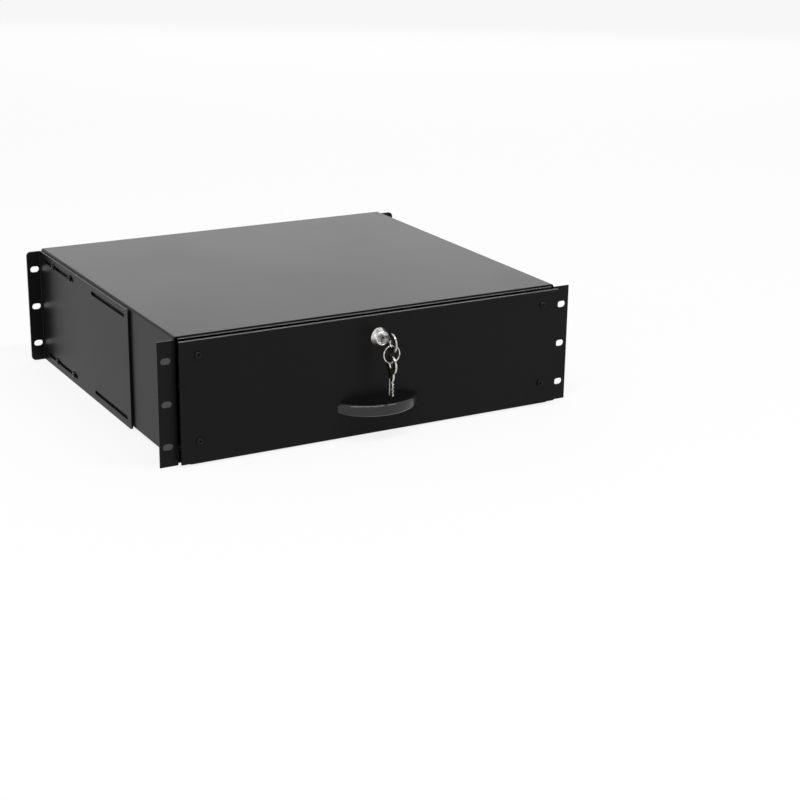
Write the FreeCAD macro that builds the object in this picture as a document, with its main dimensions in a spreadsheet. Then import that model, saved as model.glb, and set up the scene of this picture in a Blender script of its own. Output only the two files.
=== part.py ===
import FreeCAD, Part
import math
import os

import Sketcher

# Sliding rack drawer, three rack units high, in millimetres.
# X runs right as seen from the front, Y runs back, Z runs up. The origin is the centre of the
# front slot pattern, on the rear face of the rack ears, where they meet the rack's rails.

DIMENSIONS = [
    # rack interface
    ("ear_span", 482.6, "overall width over the rack ears"),
    ("ear_height", 130.2, "height of the ears and of the panel opening"),
    ("ear_width", 18.4, "each ear beyond the housing's side"),
    ("column_inset", 8.75, "column of rack slots from the outer edge of the ears"),
    ("slot_pitch", 44.45, "one rack unit, between slots of a column"),
    ("slot_length", 10.5, "rack slot, end to end"),
    ("slot_width", 7.0, "rack slot, height"),
    # housing
    ("housing_depth", 398.0, "from the ears' rear face to the back edge"),
    ("top_rise", 2.6, "top face above the upper edge of the ears"),
    ("bottom_rise", 1.7, "lower face of the housing above the lower edge of the ears"),
    ("housing_sheet", 1.5, "sheet thickness of the housing"),
    ("fold_radius", 1.1, "inside radius of every fold"),
    ("front_relief", 1.0, "setback of the top's folded front edge"),
    ("catch_lip", 10.2, "depth of the folded lip the lock catches behind"),
    ("front_round", 1.2, "rounding of the folds at the front"),
    ("front_bevel", 0.4, "bevel along the top's front edge"),
    ("ledge_reach", 2.5, "ledge of the front lip, beyond the top's front edge"),
    ("ear_crease", 0.8, "bevel in the corner behind each ear"),
    ("corner_ease", 1.5, "rounding that clears the housing's inside corners"),
    ("floor_flange", 16.0, "width of the inward flanges at the bottom"),
    ("rear_flange", 12.0, "depth of the rear panel's flanges"),
    ("rear_inset", 0.5, "setback of the rear panel"),
    ("strap_depth", 30.0, "width of the floor strap"),
    ("strap_front", 20.0, "place of the floor strap behind the ears"),
    # rear brackets
    ("bracket_sheet", 2.0, "plate thickness of the rear brackets"),
    ("bracket_depth", 280.5, "depth of the bracket, plate and flange"),
    ("bracket_inset", 0.5, "setback of the bracket's flange from the housing's back edge"),
    ("bracket_drop", 2.2, "upper edge of the bracket below the housing's top"),
    ("bracket_hang", 1.6, "lower edge of the bracket below the housing"),
    ("bracket_corner", 3.0, "radius of the plate's free corners"),
    ("flange_corner", 5.0, "radius of the flange's free corners"),
    ("adjust_length", 98.0, "depth-adjusting slot, end to end"),
    ("adjust_clearance", 0.6, "height of an adjusting slot beyond the screw"),
    ("adjust_inset", 59.0, "front adjusting slots' centre from the bracket's front edge"),
    ("adjust_spacing", 154.0, "from the front adjusting slots to the rear ones"),
    ("adjust_upper_inset", 8.0, "upper adjusting slots from the bracket's upper edge"),
    ("adjust_lower_inset", 10.0, "lower adjusting slots from the bracket's lower edge"),
    ("nut_setback", 37.0, "front rivet nut of a pair, ahead of the rear slots' centre"),
    ("nut_spacing", 56.0, "spacing of a pair of rivet nuts"),
    ("nut_flange_rim", 1.5, "rivet nut flange beyond its body"),
    ("nut_flange_height", 0.6, "rivet nut flange thickness"),
    ("nut_wall", 1.0, "rivet nut body beyond the screw"),
    ("nut_body_length", 8.0, "rivet nut body behind the flange"),
    # screws
    ("screw_size", 4.0, "nominal diameter of every machine screw"),
    ("head_rim", 1.7, "pan head beyond the screw"),
    ("head_height", 2.2, "pan head height"),
    ("head_bevel", 0.7, "bevel round a pan head"),
    ("screw_tail", 1.0, "screw end beyond what it clamps"),
    ("hole_clearance", 0.15, "gap around a screw or a nut body"),
    ("hex_wall", 1.5, "hexagon nut beyond the screw, across flats"),
    ("hex_height", 3.2, "hexagon nut height"),
    # telescopic slides
    ("slide_front", 8.0, "front end of the closed slide"),
    ("slide_rear_gap", 40.0, "from the closed slide to the housing's back edge"),
    ("slide_screw_inset", 35.0, "first and last slide screw from the ends of the slide"),
    ("slide_level", -8.0, "height of the slide's centre line"),
    ("slide_width", 12.7, "room that a slide takes beside the tray"),
    ("slide_sheet", 1.2, "sheet thickness of the slide members"),
    ("outer_half", 22.05, "half height of the outer member's flanges"),
    ("ball_size", 4.0, "bearing ball diameter"),
    ("ball_gap", 0.05, "running gap round a ball"),
    ("race_depth", 0.6, "depth of each ball race"),
    ("outer_race", 5.0, "outer ball row from the housing wall"),
    ("inner_race_gap", 3.9, "inner ball row from the tray's side"),
    ("member_gap", 1.2, "gap between neighbouring member webs"),
    ("outer_lip_gap", 1.1, "outer member's flanges from the tray's side"),
    ("middle_lip_gap", 0.3, "intermediate member's flanges from the inner member's web"),
    ("inner_lip", 2.6, "inner member's flanges beyond the inner ball row"),
    ("cage_sheet", 0.8, "thickness of the ball cages"),
    ("cage_rail", 0.75, "ball cage beside its windows"),
    ("cage_length", 160.0, "length of the ball cages"),
    ("cage_setback", 98.0, "ball cages behind the slide's front end, closed"),
    ("ball_pitch", 60.0, "spacing of the balls in a row"),
    # drawer
    ("tray_sheet", 1.2, "sheet thickness of the tray"),
    ("tray_rise", 6.4, "underside of the tray above the housing's lower face"),
    ("tray_side_drop", 15.7, "side walls of the tray below the housing's top"),
    ("tray_front_drop", 12.7, "front wall of the tray below the housing's top"),
    ("tray_rear_gap", 26.0, "from the tray to the housing's back edge"),
    ("lip_gap", 1.0, "gap between the panel screws' ends and the lips"),
    ("tray_lip", 7.0, "inward lip along the top of the side walls"),
    ("panel_gap", 1.05, "gap between the front panel and the line of the housing's sides"),
    ("panel_rise", 0.1, "upper edge of the front panel above the ears"),
    ("panel_foot", 1.3, "folded lower edge of the front panel above the ears' lower edge"),
    ("panel_face", -10.25, "outer face of the front panel"),
    ("panel_sheet", 2.0, "sheet thickness of the front panel"),
    ("panel_return", 7.0, "depth of the folded lower edge"),
    ("panel_relief", 10.0, "length of plain edge at each end of the fold"),
    ("panel_step", 1.2, "height of the fold below the plain edge"),
    ("panel_round", 1.8, "rounding of the panel's folded lower edge"),
    ("panel_top_round", 1.0, "rounding of the panel's upper edge"),
    ("panel_screw_inset", 6.7, "panel screws inside the tray's sides"),
    ("panel_screw_drop", 15.5, "upper panel screws below the panel's upper edge"),
    ("panel_screw_rise", 24.1, "lower panel screws above the panel's lower edge"),
    # handle
    ("handle_width", 96.0, "length of the handle along the panel"),
    ("handle_reach", 26.75, "how far the handle stands out"),
    ("handle_clearance", 7.95, "upper face of the handle below the hanging key"),
    ("handle_height", 12.5, "height of the handle's front"),
    ("handle_wall", 3.0, "wall of the handle"),
    ("handle_edge", 1.2, "bevel of the handle's upper edge"),
    ("handle_lower_edge", 2.2, "bevel of the handle's lower edge"),
    ("handle_screw_span", 60.0, "spacing of the handle screws"),
    ("boss_wall", 2.3, "handle's screw bosses beyond the screw"),
    ("boss_length", 10.0, "length of the screw bosses"),
    ("handle_screw_bite", 7.0, "length of a handle screw inside its boss"),
    # lock and keys
    ("lock_drop", 26.7, "lock's axis below the housing's top"),
    ("collar_overhang", 1.2, "lock collar beyond the threaded barrel"),
    ("collar_rim", 4.75, "straight part of the collar"),
    ("collar_slope", 3.25, "collar's front face within its rim, all round"),
    ("collar_height", 8.25, "collar from the panel to its front face"),
    ("barrel_size", 18.6, "diameter of the threaded barrel"),
    ("flat_depth", 1.3, "depth of each of the barrel's two flats"),
    ("barrel_end", 4.0, "rear end of the barrel"),
    ("lock_nut_wall", 2.7, "lock nut beyond the barrel, across flats"),
    ("lock_nut_height", 3.5, "lock nut thickness"),
    ("plug_size", 12.0, "plug diameter"),
    ("plug_gap", 0.06, "running gap round the plug"),
    ("plug_inset", 0.3, "setback of the plug's face in the collar"),
    ("cam_gap", 0.1, "gap between the barrel and the cam"),
    ("cam_corner", 3.0, "radius of the cam's corners"),
    ("cam_screw_bite", 4.0, "length of the cam screw inside the plug"),
    ("cam_sheet", 2.0, "cam thickness"),
    ("cam_width", 12.0, "cam width"),
    ("cam_catch", 6.0, "overlap of the turned cam's tip and the front lip"),
    ("tang_size", 7.0, "square of the plug's tail that drives the cam"),
    ("bow_size", 20.5, "diameter of a key's bow"),
    ("bow_hole", 7.0, "hole in a key's bow"),
    ("bow_gap", 8.25, "inserted key's bow from the lock collar"),
    ("key_sheet", 1.9, "key thickness"),
    ("neck_width", 10.0, "width of a key's shoulder"),
    ("neck_length", 4.0, "length of a key's shoulder beyond the bow"),
    ("tip_bevel", 2.0, "bevel at a blade's tip"),
    ("notch_pitch", 3.6, "spacing of a blade's notches"),
    ("notch_floor", 0.6, "half width of a notch's floor"),
    ("blade_length", 24.0, "key blade beyond the bow"),
    ("blade_width", 8.0, "key blade height"),
    ("blade_groove", 1.6, "width of the groove along the blade"),
    ("groove_offset", 1.0, "groove from the blade's centre line"),
    ("groove_depth", 0.45, "depth of the groove along the blade"),
    ("key_gap", 0.15, "gap between blade and keyway"),
    ("keyway_depth", 17.5, "depth of the keyway"),
    ("ring_size", 19.4, "key ring outside diameter"),
    ("ring_wire", 1.2, "key ring wire"),
    ("ring_gap", 0.35, "gap between the ring and the keys it holds"),
]

document = FreeCAD.newDocument("RackDrawer")
sheet = document.addObject("Spreadsheet::Sheet", "Dims")
for row, (alias, amount, meaning) in enumerate(DIMENSIONS, 1):
    sheet.set(f"A{row}", meaning)
    sheet.set(f"B{row}", str(amount))
    sheet.setAlias(f"B{row}", alias)
document.recompute()


class Size:
    """A length: the sheet expression that gives it, and its present value."""

    def __init__(self, text, value):
        self.text = text
        self.value = value

    @staticmethod
    def of(amount):
        return amount if isinstance(amount, Size) else Size(str(amount), float(amount))

    def __add__(self, other):
        other = Size.of(other)
        return Size(f"({self.text} + {other.text})", self.value + other.value)

    def __sub__(self, other):
        other = Size.of(other)
        return Size(f"({self.text} - {other.text})", self.value - other.value)

    def __mul__(self, other):
        other = Size.of(other)
        return Size(f"({self.text} * {other.text})", self.value * other.value)

    def __truediv__(self, other):
        other = Size.of(other)
        return Size(f"({self.text} / {other.text})", self.value / other.value)

    def __neg__(self):
        return self * -1

    def __radd__(self, other):
        return Size.of(other) + self

    def __rmul__(self, other):
        return Size.of(other) * self


class Sheet:
    """The sheet's cells as sizes, by alias."""

    def __getattr__(self, alias):
        return Size(f"Dims.{alias}", float(sheet.get(alias)))


d = Sheet()
ZERO = Size.of(0)
SIDES = (("left", -1), ("right", 1))

# Sizes that follow from the sheet and that several pieces share.
ear_half = d.ear_span / 2
column_half = ear_half - d.column_inset
housing_half = ear_half - d.ear_width
wall_inside = housing_half - d.housing_sheet
top_level = d.ear_height / 2 + d.top_rise
bottom_level = d.bottom_rise - d.ear_height / 2
lip_edge_level = top_level - d.catch_lip
bracket_rear = d.housing_depth - d.bracket_inset
bracket_front = bracket_rear - d.bracket_depth
bracket_top = top_level - d.bracket_drop
bracket_bottom = bottom_level - d.bracket_hang
adjust_width = d.screw_size + d.adjust_clearance
adjust_front = bracket_front + d.adjust_inset
adjust_rear = adjust_front + d.adjust_spacing
adjust_upper = bracket_top - d.adjust_upper_inset
adjust_lower = bracket_bottom + d.adjust_lower_inset
nut_front = adjust_rear - d.nut_setback
nut_body_size = d.screw_size + 2 * d.nut_wall
nut_flange_size = nut_body_size + 2 * d.nut_flange_rim
slide_length = d.housing_depth - d.slide_front - d.slide_rear_gap
tray_half = wall_inside - d.slide_width
tray_bottom = bottom_level + d.tray_rise
tray_side_top = top_level - d.tray_side_drop
tray_front_top = top_level - d.tray_front_drop
tray_rear = d.housing_depth - d.tray_rear_gap
tray_front = d.panel_face + d.panel_sheet
wall_back = tray_front + d.tray_sheet
panel_half = housing_half - d.panel_gap
panel_top = d.ear_height / 2 + d.panel_rise
panel_bottom = d.panel_foot - d.ear_height / 2
lock_level = top_level - d.lock_drop
collar_front = d.panel_face - d.collar_height
collar_size = d.barrel_size + 2 * d.collar_overhang
bow_place = collar_front - d.bow_gap - d.bow_size / 2
ring_radius = (d.ring_size - d.ring_wire) / 2
ring_top = lock_level - (d.bow_hole - d.ring_wire) / 2 + d.ring_gap
spare_level = ring_top - 2 * ring_radius + d.ring_gap - (d.bow_hole - d.ring_wire) / 2
handle_top = spare_level - d.bow_size / 2 - d.blade_length - d.handle_clearance
AXES = {
    "X": FreeCAD.Vector(1, 0, 0),
    "Y": FreeCAD.Vector(0, 1, 0),
    "Z": FreeCAD.Vector(0, 0, 1),
}
# each origin plane: its role, and the sign of its normal along the axis across it
PLANES = {"XY": ("XY_Plane", 1), "XZ": ("XZ_Plane", -1), "YZ": ("YZ_Plane", 1)}
CUT_MARGIN = 1.0
SLOT_FLAT = math.sqrt(2) - 1
HEAD_SIDES = 8
BOSS_SIDES = 12
RING_SIDES = 32


def bind(thing, prop, amount):
    """Set a property from the sheet."""
    thing.setExpression(prop, Size.of(amount).text)


def make_body(name, x=0, y=0, z=0):
    """A new body standing at x, y, z."""
    body = document.addObject("PartDesign::Body", name)
    body.Label = name
    for axis, amount in (("x", x), ("y", y), ("z", z)):
        bind(body, f"Placement.Base.{axis}", amount)
    return body


def make_sketch(body, plane, at=ZERO):
    """An empty sketch on one of the body's origin planes, moved to the given place across it."""
    role, normal = PLANES[plane]
    sketch = body.newObject("Sketcher::SketchObject", f"{body.Label}_sketch")
    support = next(item for item in body.Origin.OriginFeatures if item.Role == role)
    sketch.AttachmentSupport = [(support, "")]
    sketch.MapMode = "FlatFace"
    bind(sketch, "AttachmentOffset.Base.z", Size.of(at) * normal)
    return sketch


def fix(sketch, kind, *where_and_size):
    """Add a constraint whose last argument is a size, and bind it to the sheet."""
    *where, amount = where_and_size
    number = sketch.addConstraint(Sketcher.Constraint(kind, *where, amount.value))
    bind(sketch, f"Constraints[{number}]", amount)


def arc_between(start, end, radius, turn):
    """The short arc from start to end; turn is 1 to go anticlockwise and -1 to go clockwise."""
    chord = end - start
    height = math.sqrt(radius ** 2 - (chord.Length / 2) ** 2)
    across = FreeCAD.Vector(-chord.y, chord.x, 0).normalize()
    centre = (start + end) * 0.5 + across * (height * turn)
    first, last = (start, end) if turn > 0 else (end, start)
    angles = [math.atan2(point.y - centre.y, point.x - centre.x) for point in (first, last)]
    circle = Part.Circle(centre, FreeCAD.Vector(0, 0, 1), radius)
    return Part.ArcOfCircle(circle, angles[0], angles[1])


def outline(sketch, *corners):
    """Draw a closed outline. A corner is (x, y), or (x, y, radius, turn) to reach it by an arc."""
    corners = [tuple(Size.of(part) for part in corner[:2]) + tuple(corner[2:]) for corner in corners]
    count = len(corners)
    ends = []
    for index, corner in enumerate(corners):
        following = corners[(index + 1) % count]
        start = FreeCAD.Vector(corner[0].value, corner[1].value, 0)
        end = FreeCAD.Vector(following[0].value, following[1].value, 0)
        if len(following) == 4:
            radius, turn = Size.of(following[2]), following[3]
            number = sketch.addGeometry(arc_between(start, end, radius.value, turn), False)
            fix(sketch, "Radius", number, radius)
            ends.append((number, 1, 2) if turn > 0 else (number, 2, 1))
        else:
            number = sketch.addGeometry(Part.LineSegment(start, end), False)
            ends.append((number, 1, 2))
    for index, (number, _, last) in enumerate(ends):
        next_number, next_first, _ = ends[(index + 1) % count]
        joint = Sketcher.Constraint("Coincident", number, last, next_number, next_first)
        sketch.addConstraint(joint)
    for index, corner in enumerate(corners):
        number, first, _ = ends[index]
        before = corners[index - 1]
        straight = index > 0 and len(corner) == 2
        if straight and before[0].text == corner[0].text:
            sketch.addConstraint(Sketcher.Constraint("Vertical", ends[index - 1][0]))
        else:
            fix(sketch, "DistanceX", -1, 1, number, first, corner[0])
        if straight and before[1].text == corner[1].text:
            sketch.addConstraint(Sketcher.Constraint("Horizontal", ends[index - 1][0]))
        else:
            fix(sketch, "DistanceY", -1, 1, number, first, corner[1])


def rectangle(sketch, left, right, low, high):
    outline(sketch, (left, low), (right, low), (right, high), (left, high))


def circle(sketch, x, y, diameter):
    x, y, diameter = Size.of(x), Size.of(y), Size.of(diameter)
    centre = FreeCAD.Vector(x.value, y.value, 0)
    number = sketch.addGeometry(Part.Circle(centre, FreeCAD.Vector(0, 0, 1), diameter.value / 2))
    fix(sketch, "DistanceX", -1, 1, number, 3, x)
    fix(sketch, "DistanceY", -1, 1, number, 3, y)
    fix(sketch, "Diameter", number, diameter)


def slot(sketch, x, y, length, width):
    """A round-ended slot along the sketch's first axis."""
    x, y = Size.of(x), Size.of(y)
    reach = (length - width) / 2
    radius = width.value / 2
    up = FreeCAD.Vector(0, 0, 1)
    near = FreeCAD.Vector(x.value - reach.value, y.value, 0)
    far = FreeCAD.Vector(x.value + reach.value, y.value, 0)
    rise = FreeCAD.Vector(0, radius, 0)
    top = sketch.addGeometry(Part.LineSegment(near + rise, far + rise))
    low = sketch.addGeometry(Part.LineSegment(near - rise, far - rise))
    half = math.pi / 2
    right = sketch.addGeometry(Part.ArcOfCircle(Part.Circle(far, up, radius), -half, half))
    left = sketch.addGeometry(Part.ArcOfCircle(Part.Circle(near, up, radius), half, 3 * half))
    for pair in ((top, 2, right, 2), (low, 2, right, 1), (top, 1, left, 1), (low, 1, left, 2)):
        sketch.addConstraint(Sketcher.Constraint("Tangent", *pair))
    sketch.addConstraint(Sketcher.Constraint("Equal", left, right))
    fix(sketch, "DistanceX", -1, 1, left, 3, x - reach)
    fix(sketch, "DistanceY", -1, 1, left, 3, y)
    fix(sketch, "DistanceX", -1, 1, right, 3, x + reach)
    fix(sketch, "DistanceY", -1, 1, right, 3, y)
    fix(sketch, "Radius", left, width / 2)


def polygon(sketch, sides, width, x=ZERO, y=ZERO):
    """An even polygon of the given width across flats, with a corner straight beside x, y."""
    corner = width / 2 / math.cos(math.pi / sides)
    turns = [2 * math.pi * number / sides for number in range(sides)]
    outline(sketch, *(
        (x + corner * round(math.cos(turn), 9), y + corner * round(math.sin(turn), 9))
        for turn in turns))


def hexagon(sketch, width, x=ZERO, y=ZERO):
    polygon(sketch, 6, width, x, y)


def bevelled_slot(sketch, x, y, length, width):
    """A slot along the sketch's first axis whose ends are bevelled on both sides."""
    long_half, flat_half = length / 2, width / 2 * SLOT_FLAT
    straight, half = length / 2 - (width / 2 - flat_half), width / 2
    outline(
        sketch,
        (x - straight, y - half), (x + straight, y - half), (x + long_half, y - flat_half),
        (x + long_half, y + flat_half), (x + straight, y + half), (x - straight, y + half),
        (x - long_half, y + flat_half), (x - long_half, y - flat_half),
    )


def pad(body, sketch, length, toward=1):
    """Raise a sketch along the axis across its plane; toward is 1 or -1."""
    plane = sketch.AttachmentSupport[0][0].Role
    normal = next(sign for role, sign in PLANES.values() if role == plane)
    feature = body.newObject("PartDesign::Pad", f"{body.Label}_pad")
    feature.Profile = sketch
    feature.Reversed = toward * normal < 0
    bind(feature, "Length", length)
    document.recompute()
    return feature


def pocket(body, sketch, length, toward=1):
    """Cut a sketch along the axis across its plane, and make sure that it removes material."""
    plane = sketch.AttachmentSupport[0][0].Role
    normal = next(sign for role, sign in PLANES.values() if role == plane)
    before = body.Shape.Volume
    feature = body.newObject("PartDesign::Pocket", f"{body.Label}_pocket")
    feature.Profile = sketch
    feature.Reversed = toward * normal > 0
    bind(feature, "Length", length)
    document.recompute()
    if not body.Shape.Volume < before - 1e-6:
        raise RuntimeError(f"{feature.Label} removes nothing")
    return feature


def spin(body, sketch, kind="PartDesign::Revolution"):
    """Turn a sketch round its own first axis."""
    feature = body.newObject(kind, f"{body.Label}_turned")
    feature.Profile = sketch
    feature.ReferenceAxis = (sketch, ["H_Axis"])
    feature.Angle = 360
    document.recompute()
    return feature


def edges_along(body, axis, places):
    """Names of the straight edges along an axis that pass a place; None leaves a coordinate free."""
    names = []
    for number, edge in enumerate(body.Tip.Shape.Edges, 1):
        if edge.Curve.TypeId != "Part::GeomLine":
            continue
        if abs(abs(edge.tangentAt(edge.FirstParameter).dot(AXES[axis])) - 1) > 1e-6:
            continue
        middle = edge.CenterOfMass
        for place in places:
            gaps = [abs(a - Size.of(b).value) for a, b in zip(middle, place) if b is not None]
            if max(gaps) < 1e-3:
                names.append(f"Edge{number}")
                break
    return names


def edges_round(body, axis, radius, level):
    """Names of the circular edges of a radius that lie across an axis at a level."""
    names = []
    for number, edge in enumerate(body.Tip.Shape.Edges, 1):
        if edge.Curve.TypeId != "Part::GeomCircle":
            continue
        if abs(edge.Curve.Radius - radius.value) > 1e-3:
            continue
        if abs(edge.Curve.Center.dot(AXES[axis]) - Size.of(level).value) < 1e-3:
            names.append(f"Edge{number}")
    return names


def fillet(body, radius, names):
    """Round the named edges of the body's last feature."""
    if not names:
        raise RuntimeError(f"{body.Label}: no edge to round")
    base = body.Tip
    feature = body.newObject("PartDesign::Fillet", f"{body.Label}_fillet")
    feature.Base = (base, names)
    bind(feature, "Radius", radius)
    document.recompute()
    return feature


def chamfer(body, size, names):
    """Bevel the named edges of the body's last feature."""
    base = body.Tip
    feature = body.newObject("PartDesign::Chamfer", f"{body.Label}_chamfer")
    feature.Base = (base, names)
    bind(feature, "Size", size)
    document.recompute()
    return feature


nodes = []


def add_node(thing, name):
    """Give an object its node name and list it as a sub-part."""
    thing.Label = name
    nodes.append(thing)
    return thing


def group(name, members):
    """One node of like pieces that stay separate solids."""
    compound = document.addObject("Part::Compound", name)
    for number, member in enumerate(members, 1):
        member.Label = f"{name}_{number}"
    compound.Links = members
    return add_node(compound, name)


# Housing --------------------------------------------------------------------------------------

fold_outside = d.fold_radius + d.housing_sheet
nut_places = [
    (y, z)
    for y in (nut_front, nut_front + d.nut_spacing)
    for z in (adjust_upper, adjust_lower)
]


def make_housing_shell():
    """The folded top, sides, floor flanges and ears, with the stepped lip under the top's edge."""
    body = make_body("housing_shell")
    under_top = top_level - d.housing_sheet
    over_flange = bottom_level + d.housing_sheet
    flange_edge = housing_half - d.floor_flange
    profile = make_sketch(body, "XZ")
    outline(
        profile,
        (-housing_half, top_level), (-housing_half, bottom_level),
        (-flange_edge, bottom_level), (-flange_edge, over_flange),
        (-wall_inside, over_flange), (-wall_inside, under_top),
        (wall_inside, under_top), (wall_inside, over_flange),
        (flange_edge, over_flange), (flange_edge, bottom_level),
        (housing_half, bottom_level), (housing_half, top_level),
    )
    pad(body, profile, d.housing_depth)
    fold_places = [(side * x, z) for side in (-1, 1) for x, z in (
        (housing_half, top_level), (housing_half, bottom_level))]
    fillet(body, fold_outside, edges_along(body, "Y", [(x, None, z) for x, z in fold_places]))
    crease_places = [(side * x, z) for side in (-1, 1) for x, z in (
        (wall_inside, under_top), (wall_inside, over_flange))]
    fillet(body, d.fold_radius, edges_along(body, "Y", [(x, None, z) for x, z in crease_places]))

    relief = make_sketch(body, "XZ", -CUT_MARGIN)
    rectangle(relief, -ear_half, ear_half, d.ear_height / 2, top_level + CUT_MARGIN)
    pocket(body, relief, d.front_relief + CUT_MARGIN)
    lip = make_sketch(body, "XZ", d.front_relief)
    lip_end = wall_inside - fold_outside
    rectangle(lip, -lip_end, lip_end, lip_edge_level, top_level)
    pad(body, lip, d.housing_sheet)
    fillet(body, d.fold_radius, edges_along(
        body, "X", [(None, d.front_relief + d.housing_sheet, under_top)]))
    chamfer(body, d.front_bevel, edges_along(body, "X", [(None, d.front_relief, top_level)]))
    ledge = make_sketch(body, "XZ", d.front_relief)
    rectangle(ledge, -lip_end, lip_end, under_top - d.housing_sheet, under_top)
    pad(body, ledge, d.ledge_reach, -1)

    for side in (-1, 1):
        ear = make_sketch(body, "XZ")
        left, right = sorted((wall_inside * side, ear_half * side), key=lambda size: size.value)
        rectangle(ear, left, right, -d.ear_height / 2, d.ear_height / 2)
        pad(body, ear, d.housing_sheet, -1)
    fillet(body, d.front_round, edges_along(
        body, "Z", [(side * wall_inside, -d.housing_sheet, None) for side in (-1, 1)]))
    chamfer(body, d.ear_crease, edges_along(
        body, "Z", [(side * housing_half, ZERO, None) for side in (-1, 1)]))

    slots = make_sketch(body, "XZ", -d.housing_sheet - CUT_MARGIN)
    for side in (-1, 1):
        for row in (-1, 0, 1):
            slot(slots, column_half * side, d.slot_pitch * row, d.slot_length, d.slot_width)
    pocket(body, slots, d.housing_sheet + 2 * CUT_MARGIN)

    holes = make_sketch(body, "YZ", -housing_half - CUT_MARGIN)
    for y, z in nut_places:
        hexagon(holes, nut_body_size + 2 * d.hole_clearance, y, z)
    pocket(body, holes, 2 * housing_half + 2 * CUT_MARGIN)
    add_node(body, "housing_shell")


def make_rear_panel():
    """A shallow pan that closes the back, welded inside the housing by its rim."""
    body = make_body("rear_panel")
    low, high = bottom_level + d.housing_sheet, top_level - d.housing_sheet
    back = d.housing_depth - d.rear_inset
    plate = make_sketch(body, "XZ", back - d.housing_sheet)
    rectangle(plate, -wall_inside, wall_inside, low, high)
    pad(body, plate, d.housing_sheet)
    rim = make_sketch(body, "XZ", back - d.housing_sheet - d.rear_flange)
    rectangle(rim, -wall_inside, wall_inside, low, high)
    rectangle(rim, d.housing_sheet - wall_inside, wall_inside - d.housing_sheet,
              low + d.housing_sheet, high - d.housing_sheet)
    pad(body, rim, d.rear_flange)
    corners = [(x, None, z) for x in (-wall_inside, wall_inside) for z in (low, high)]
    fillet(body, d.corner_ease, edges_along(body, "Y", corners))
    add_node(body, "rear_panel")


def make_floor_strap():
    """A strap across the floor flanges that ties the two sides together at the front."""
    body = make_body("floor_strap")
    half = wall_inside - d.corner_ease
    plan = make_sketch(body, "XY", bottom_level + d.housing_sheet)
    rectangle(plan, -half, half, d.strap_front, d.strap_front + d.strap_depth)
    pad(body, plan, d.housing_sheet)
    add_node(body, "floor_strap")


# Rear brackets --------------------------------------------------------------------------------

bracket_inside = housing_half + d.nut_flange_height
bracket_outside = bracket_inside + d.bracket_sheet


def make_rear_bracket(name, side):
    """An angle with a slotted plate along the housing's side and a rack flange at the back."""
    body = make_body(f"rear_bracket_{name}")
    flange_front = bracket_rear - d.bracket_sheet
    plan = make_sketch(body, "XY", bracket_bottom)
    outline(
        plan,
        (side * bracket_inside, bracket_front), (side * bracket_outside, bracket_front),
        (side * bracket_outside, flange_front), (side * ear_half, flange_front),
        (side * ear_half, bracket_rear), (side * bracket_inside, bracket_rear),
    )
    pad(body, plan, bracket_top - bracket_bottom)
    fillet(body, d.fold_radius + d.bracket_sheet, edges_along(
        body, "Z", [(side * bracket_inside, bracket_rear, None)]))
    fillet(body, d.fold_radius, edges_along(
        body, "Z", [(side * bracket_outside, flange_front, None)]))
    ends = (bracket_top, bracket_bottom)
    fillet(body, d.bracket_corner, edges_along(
        body, "X", [(None, bracket_front, z) for z in ends]))
    fillet(body, d.flange_corner, edges_along(body, "Y", [(side * ear_half, None, z) for z in ends]))

    rack_slots = make_sketch(body, "XZ", flange_front - CUT_MARGIN)
    for row in (-1, 0, 1):
        slot(rack_slots, column_half * side, d.slot_pitch * row, d.slot_length, d.slot_width)
    pocket(body, rack_slots, d.bracket_sheet + 2 * CUT_MARGIN)
    middle = side * (bracket_inside + d.bracket_sheet / 2)
    adjusters = make_sketch(body, "YZ", middle - d.bracket_sheet / 2 - CUT_MARGIN)
    for y in (adjust_front, adjust_rear):
        for z in (adjust_upper, adjust_lower):
            bevelled_slot(adjusters, y, z, d.adjust_length, adjust_width)
    pocket(body, adjusters, d.bracket_sheet + 2 * CUT_MARGIN)
    add_node(body, f"rear_bracket_{name}")


# Fasteners ------------------------------------------------------------------------------------

head_size = d.screw_size + 2 * d.head_rim
shank_width = d.screw_size * (math.sqrt(3) / 2)
shank_hole = shank_width + 2 * d.hole_clearance


def along(body, direction):
    """Turn a body so that its own X axis points the given way."""
    spot = body.Placement.Base
    body.Placement = FreeCAD.Placement(spot, FreeCAD.Rotation(AXES["X"], direction))
    return body


def make_screw(name, x, y, z, direction, length):
    """A pan head screw whose head sits at x, y, z and whose shank points the given way."""
    body = along(make_body(name, x, y, z), direction)
    head = make_sketch(body, "YZ")
    polygon(head, HEAD_SIDES, head_size)
    pad(body, head, d.head_height, -1)
    bevelled = [f"Edge{number}" for number, edge in enumerate(body.Tip.Shape.Edges, 1)
                if abs(edge.CenterOfMass.x + d.head_height.value) < 1e-3]
    chamfer(body, d.head_bevel, bevelled)
    shank = make_sketch(body, "YZ")
    hexagon(shank, shank_width)
    pad(body, shank, length)
    return body


def make_nut(name, x, y, z):
    """A hexagon nut on the back of the drawer's front wall."""
    body = make_body(name, x, y, z)
    face = make_sketch(body, "XZ")
    hexagon(face, d.screw_size + 2 * d.hex_wall)
    hexagon(face, shank_hole)
    pad(body, face, d.hex_height)
    return body


def make_rivet_nut(name, x, y, z, direction):
    """A threaded insert set in the housing wall: thin flange outside, hexagonal body inside."""
    body = along(make_body(name, x, y, z), direction)
    for start, length, width in ((-d.nut_flange_height, d.nut_flange_height, nut_flange_size),
                                 (ZERO, d.nut_body_length, nut_body_size)):
        section = make_sketch(body, "YZ", start)
        hexagon(section, width)
        hexagon(section, shank_hole)
        pad(body, section, length)
    return body


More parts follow.
